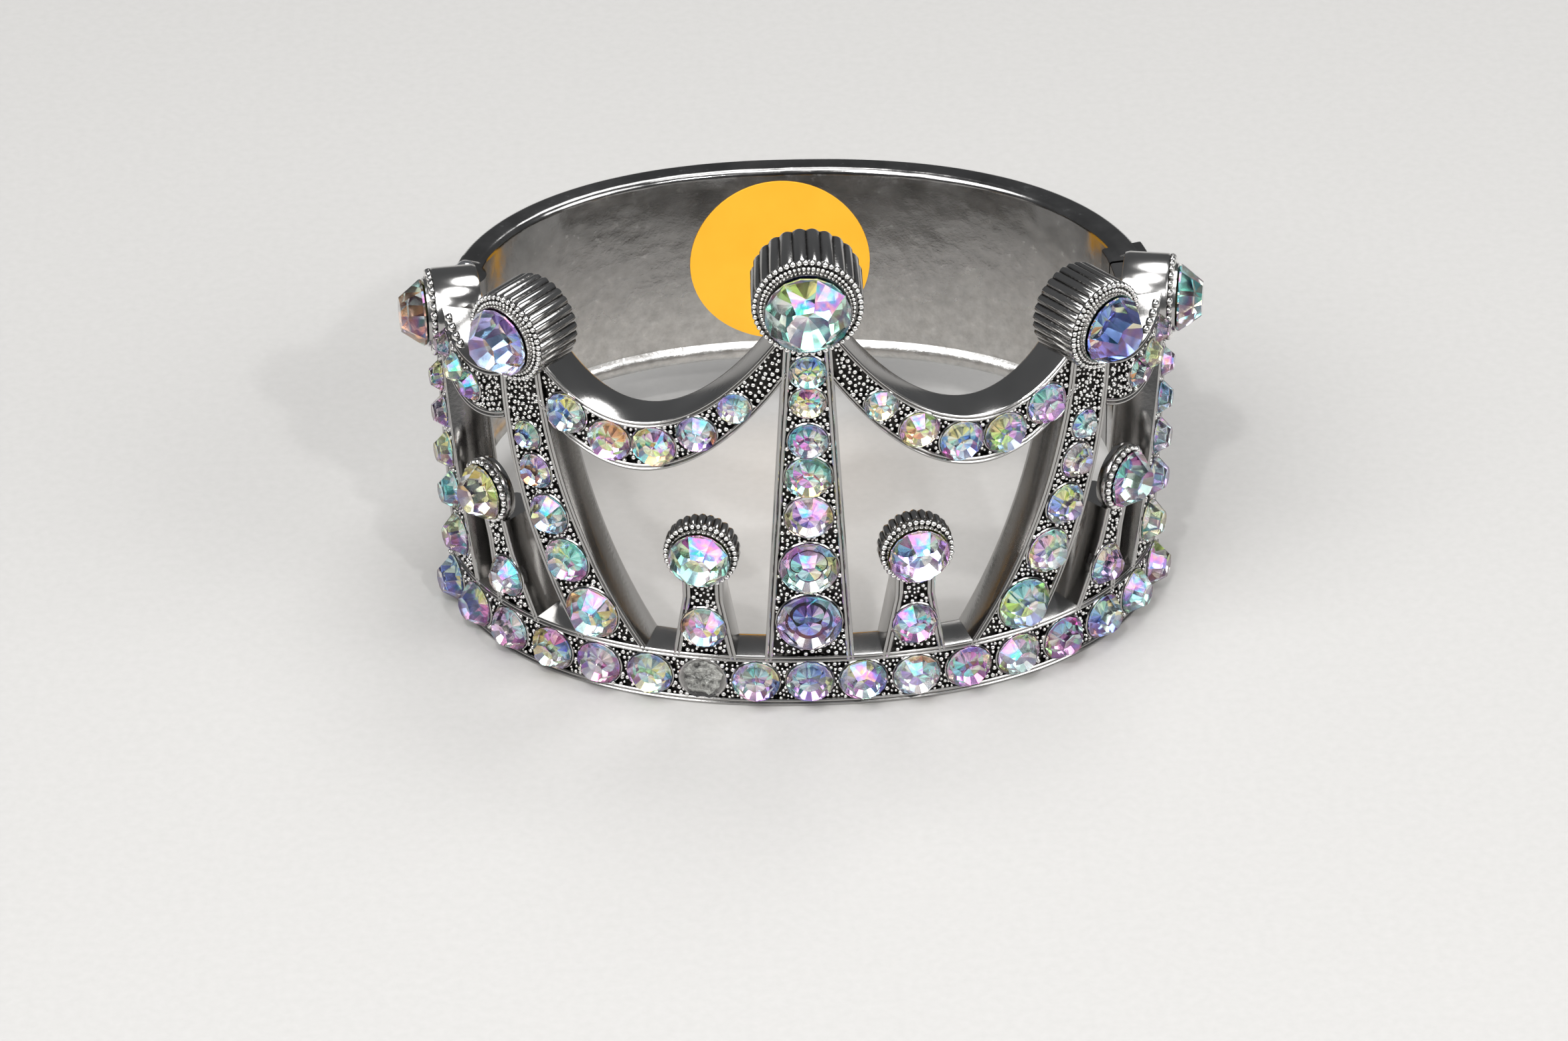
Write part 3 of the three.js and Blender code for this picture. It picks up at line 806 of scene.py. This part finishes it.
def cut_stone(size, proud, twist):
    """Points and faces of a cut stone, and how many of the faces are glass. The foil's come last.

    The glass is a table, large facets, small facets between them and the girdle. The foil behind is two
    rings of plain faces; its pleats are only painted shade, the second face of each sector darker.
    """
    r = size / 2
    girdle, table = GIRDLE_HEIGHT * size + proud, TABLE_HEIGHT * size + proud

    def ring(radius, out, count):
        turns = twist + np.arange(count) * 2 * math.pi / count
        return np.column_stack([radius * np.cos(turns), radius * np.sin(turns), np.full(count, out)])

    points = np.concatenate([
        ring(TABLE_WIDTH * r, table, FOLD),
        ring(r, girdle, 2 * FOLD),
        ring(r, girdle - GIRDLE_THICKNESS * size, 2 * FOLD),
        ring(VALLEY * r, -FOIL_DEPTH * size, 2 * FOLD),
        np.array([(0, 0, -PEAK_DEPTH * size)]),
    ])
    # The first points of the girdle's upper and lower rings and of the valley's ring, and the peak.
    g, h, v, peak = FOLD, 3 * FOLD, 5 * FOLD, 7 * FOLD
    faces = [tuple(range(FOLD))]
    for i in range(FOLD):
        j = (i + 1) % FOLD
        faces.append((i, g + 2 * i, g + 2 * j, j))
        faces.append((g + 2 * i, g + 2 * i + 1, g + 2 * j))
    for i in range(2 * FOLD):
        j = (i + 1) % (2 * FOLD)
        faces.append((g + i, h + i, h + j, g + j))
    glass_faces = len(faces)
    for i in range(2 * FOLD):
        j = (i + 1) % (2 * FOLD)
        faces.append((h + i, v + i, v + j, h + j))
    for i in range(2 * FOLD):
        faces.append((v + i, peak, v + (i + 1) % (2 * FOLD)))
    return points, faces, glass_faces


def facet_colours(chance):
    """A colour for each face of a cut stone, in the order of cut_stone's faces."""
    colours = [washed(chance.choice(TINT_LIST), TABLE_WHITE, TABLE_LIGHT)]
    for _ in range(FOLD):
        colours += [washed(chance.choice(TINT_LIST), CROWN_WHITE, CROWN_LIGHT)] * 2
    colours += [(1.0, 1.0, 1.0)] * (2 * FOLD)
    for hue_count in (OUTER_HUES, INNER_HUES):
        hues = [chance.choice(TINT_LIST) for _ in range(hue_count)]
        for i in range(FOLD):
            light = chance.uniform(FOIL_LIGHT_LOW, FOIL_LIGHT_HIGH)
            sector = washed(hues[i * hue_count // FOLD], FOIL_WHITE, light)
            # Painted shade: the second face of each sector is darker, as if it were the shaded side of a
            # pleat.
            colours += [sector, tuple(FOIL_FOLD_PAINTED_SHADE * value for value in sector)]
    return colours


def crystal(name, along, up, size, face, nodes):
    """A stone in its place, with its own turn and colours, drawn by its name."""
    chance = random.Random(name)
    twist = chance.uniform(0, 2 * math.pi / FOLD)
    points, faces, glass_faces = cut_stone(size, PROUD.get(name, 0.0), twist)
    pile = Pile()
    pile.add(on_wall(points + np.array([0, 0, face]), along, up), outward(points, faces),
             material=[0] * glass_faces + [1] * (len(faces) - glass_faces), colours=facet_colours(chance))
    pile.piece(f"crystal_{name}", [GLASS, FOIL], "crown_front", nodes, smooth=0)


for NODE, (ALONG, UP, SIZE, FACE) in STONES.items():
    crystal(NODE, ALONG, UP, SIZE, FACE, [NODE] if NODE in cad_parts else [])


# ---- the empty seat ----
# The cement's rings, from its edge to its middle: their radius and how far they are out of the wall.
CEMENT_ROWS = [
    (2.1, -0.6), (2.05, -0.2), (1.6, -0.12), (1.15, -0.2), (0.7, -0.1), (0.3, -0.16), (0.05, -0.14),
]
CEMENT_SIDES, LUMP = 24, 0.14
cement = Pile()
POINTS, FACES = loft([circle(radius, out, CEMENT_SIDES) for radius, out in CEMENT_ROWS])
POINTS[:, 2] += [rng.uniform(-LUMP, LUMP) for _ in POINTS]
cement.add(on_wall(POINTS, *EMPTY_SEAT[:2]), FACES)
cement.piece("empty_seat_cement", [CEMENT], "crown_front")


# ---- the back band ----
# The rolled lip along the inner lower edge: its radius, how far its middle is sunk into the band, and the
# height and depth of the strip that its painted highlight covers.
LIP_RADIUS, LIP_SUNK, LIP_HEIGHT, LIP_DEPTH = 1.05, 0.35, 2.2, 0.3
BAND_STEPS = 181


def band_section():
    """(up, out) points round the band's section: three rounded edges and the lip."""
    low, high, inner = BAND_LOW.z, BAND_HIGH.z, -BAND_THICKNESS
    high_outer, high_inner, low_outer = 0.8, 0.7, 0.6
    points = arc((high - high_outer, -high_outer), high_outer, 90, 0, 5)
    points += arc((high - high_inner, inner + high_inner), high_inner, 0, -90, 5)
    points += arc((low + LIP_RADIUS, inner + LIP_SUNK), LIP_RADIUS, -20, -180, 12)
    points += arc((low + low_outer, -low_outer), low_outer, 180, 90, 4)
    return np.array(points)


def band_points(angle, section):
    at, normal = BAND.wall(np.array([angle]))
    level = at[0] + section[:, 1:2] * normal[0]
    return np.column_stack([level[:, 0], level[:, 1] + CENTRE_Y, section[:, 0]])


def band_angle(along):
    """The angle on the band's oval of a place along the front's wall, taken just inside that wall."""
    x, y, _ = bend([(along, 0, -1)])[0]
    return math.atan2(x, -(y - CENTRE_Y))


band = Pile(plain_relief=0.0)
SECTION = band_section()
START = band_angle(JOINT_ALONG + LEAF_START)
END = band_angle(-(JOINT_ALONG + KNUCKLE_RADIUS + HINGE_CLEARANCE)) + 2 * math.pi
# The strip of the lip whose points get relief 1, which the band's material paints as a highlight.
LIP_HIGHLIGHT_STRIP = (SECTION[:, 0] < BAND_LOW.z + LIP_HEIGHT) & (SECTION[:, 1] < LIP_DEPTH - BAND_THICKNESS)
LOOPS = [band_points(angle, SECTION) for angle in np.linspace(START, END, BAND_STEPS)]
band.add(*loft(LOOPS), relief=np.tile(LIP_HIGHLIGHT_STRIP, BAND_STEPS))
plate(band, 1, JOINT_ALONG + CATCH_GAP, JOINT_ALONG + CATCH_LENGTH, BAND_LOW.z, BAND_HIGH.z, CATCH_FACES)
LOWER_KNUCKLE = (BAND_LOW.z, MIDDLE_LOW - KNUCKLE_GAP)
UPPER_KNUCKLE = (MIDDLE_HIGH + KNUCKLE_GAP, BAND_HIGH.z)
for LOW, HIGH in (LOWER_KNUCKLE, UPPER_KNUCKLE):
    knuckle(band, LOW, HIGH)
    plate(band, -1, JOINT_ALONG + LEAF_START, JOINT_ALONG + LEAF_END, LOW, HIGH, LEAF_FACES)
band.piece("back_band_polished", [BAND_PLATING], "rear_band", ["back_band"])


# ---- pin, magnets and label ----
SHANK_RADIUS = 0.58
HEAD_RADIUS = (PIN_HIGH.x - PIN_LOW.x) / 2
HEAD_HEIGHT = 1.1
HEAD = PIN_HIGH.z - HEAD_HEIGHT
pin = Pile()
upright(pin, [
    (0.3, PIN_LOW.z), (SHANK_RADIUS, PIN_LOW.z + 0.3), (SHANK_RADIUS, HEAD),
    (HEAD_RADIUS, HEAD + 0.05), (HEAD_RADIUS, HEAD + 0.4), (0.86 * HEAD_RADIUS, HEAD + 0.75),
    (0.5 * HEAD_RADIUS, HEAD + 1.0), (0.15 * HEAD_RADIUS, HEAD + HEAD_HEIGHT),
])
pin.piece("hinge_pin_turned", [STEEL], "crown_front", ["hinge_pin"])

# The magnets stand a hair proud of the catch's end faces.
MAGNET_LOW, MAGNET_HIGH = box_mm("catch_magnet_front")
MAGNET_THICK, MAGNET_PROUD, MAGNET_EDGE = 1.4, 0.05, 0.25
MAGNET_FACES = (-1.75, -3.25)
NEAR = CATCH_GAP - MAGNET_PROUD
FAR = NEAR + MAGNET_THICK
for NAME, BODY, START_AT, END_AT in (("front", "crown_front", JOINT_ALONG - FAR, JOINT_ALONG - NEAR),
                                     ("back", "rear_band", JOINT_ALONG + NEAR, JOINT_ALONG + FAR)):
    magnet = Pile()
    plate(magnet, 1, START_AT, END_AT, MAGNET_LOW.z, MAGNET_HIGH.z, MAGNET_FACES, MAGNET_EDGE)
    magnet.piece(f"magnet_bar_{NAME}", [NICKEL], BODY, [f"catch_magnet_{NAME}"])

LABEL_LOW, LABEL_HIGH = box_mm("price_sticker")
LABEL_UP = (LABEL_LOW.z + LABEL_HIGH.z) / 2
LABEL_RADIUS = (LABEL_HIGH.z - LABEL_LOW.z) / 2
LABEL_X = (LABEL_LOW.x + LABEL_HIGH.x) / 2
LABEL_SIDES = 72
# The label's back is a hair inside the band's metal, and its face stands a little proud of it.
LABEL_BACK, LABEL_FACE = -BAND_THICKNESS + 0.02, -BAND_THICKNESS - 0.12


def label_ring(share, out):
    """A ring of points on the band's inside, at a share of the label's radius."""
    loop = []
    for i in range(LABEL_SIDES):
        turn = i * 2 * math.pi / LABEL_SIDES
        across = LABEL_X + share * LABEL_RADIUS * math.cos(turn)
        at, normal = BAND.wall(np.array([math.pi - across / BAND_HALF_DEPTH]))
        level = at[0] + normal[0] * out
        loop.append((level[0], level[1] + CENTRE_Y, LABEL_UP + share * LABEL_RADIUS * math.sin(turn)))
    return np.array(loop)


label = Pile()
label.add(*loft([label_ring(share, LABEL_BACK) for share in (0.02, 0.5, 1)]
                + [label_ring(share, LABEL_FACE) for share in (1, 0.8, 0.6, 0.4, 0.2, 0.02)]))
label.piece("round_label", [PAPER], "rear_band", ["price_sticker"])


# ---- stage ----
def floor_material():
    n = Nodes("floor_card")
    grain = n.noise(0.9, 3)
    n.set(Base_Color=n.mix(grain, (0.42, 0.412, 0.4), (0.47, 0.462, 0.45)), Roughness=0.6)
    return n.material


FLOOR_WIDTH = 6
bpy.ops.mesh.primitive_plane_add(size=FLOOR_WIDTH)
floor = bpy.context.object
floor.name = "floor"
floor.data.materials.append(floor_material())


LAMPS_AIM = Vector((0, 0, 0.02))


def area_light(name, azimuth, elevation, distance, size, watts):
    """A white disc lamp aimed at the crown, from a bearing round it."""
    lamp = bpy.data.objects.new(name, bpy.data.lights.new(name, "AREA"))
    lamp.data.shape = "DISK"
    lamp.data.size = size
    lamp.data.energy = watts
    a, e = math.radians(azimuth), math.radians(elevation)
    back = Vector((math.sin(a) * math.cos(e), -math.cos(a) * math.cos(e), math.sin(e)))
    lamp.location = LAMPS_AIM + back * distance
    lamp.rotation_euler = (-back).to_track_quat("-Z", "Y").to_euler()
    bpy.context.scene.collection.objects.link(lamp)


# Large soft lamps, and two small ones that make the stones and beads sparkle.
area_light("key", -40, 50, 0.9, 0.7, 7.5)
area_light("fill", 60, 35, 0.9, 0.55, 3.4)
area_light("back", 150, 65, 0.9, 0.5, 3)
area_light("above", 10, 80, 0.8, 0.35, 1.8)
area_light("sparkle_left", -12, 52, 0.9, 0.04, 1.8)
area_light("sparkle_right", 22, 40, 0.9, 0.04, 1.8)

bpy.context.scene.view_settings.view_transform = "Standard"

world = bpy.data.worlds.new("studio")
bpy.context.scene.world = world
world.use_nodes = True
BACKGROUND = world.node_tree.nodes["Background"]
BACKGROUND.inputs["Color"].default_value = (0.8, 0.82, 0.85, 1)
BACKGROUND.inputs["Strength"].default_value = 0.17


# ---- camera: a long lens from above the front, a little to the left ----
VIEW_AZIMUTH, VIEW_ELEVATION, VIEW_ROLL = -1.129, 34.337, -0.535
VIEW_DISTANCE = 0.683
VIEW_TARGET = Vector((-2.32, -25.37, 21.67)) * MM
camera = bpy.data.objects.new("camera", bpy.data.cameras.new("camera"))
camera.data.sensor_width = 36
camera.data.lens = 167.7
A, E = math.radians(VIEW_AZIMUTH), math.radians(VIEW_ELEVATION)
BACKWARD = Vector((math.sin(A) * math.cos(E), -math.cos(A) * math.cos(E), math.sin(E)))
camera.location = VIEW_TARGET + BACKWARD * VIEW_DISTANCE
ROLL = Matrix.Rotation(math.radians(VIEW_ROLL), 4, "Z")
camera.rotation_euler = ((-BACKWARD).to_track_quat("-Z", "Y").to_matrix().to_4x4() @ ROLL).to_euler()
bpy.context.scene.collection.objects.link(camera)
bpy.context.scene.camera = camera
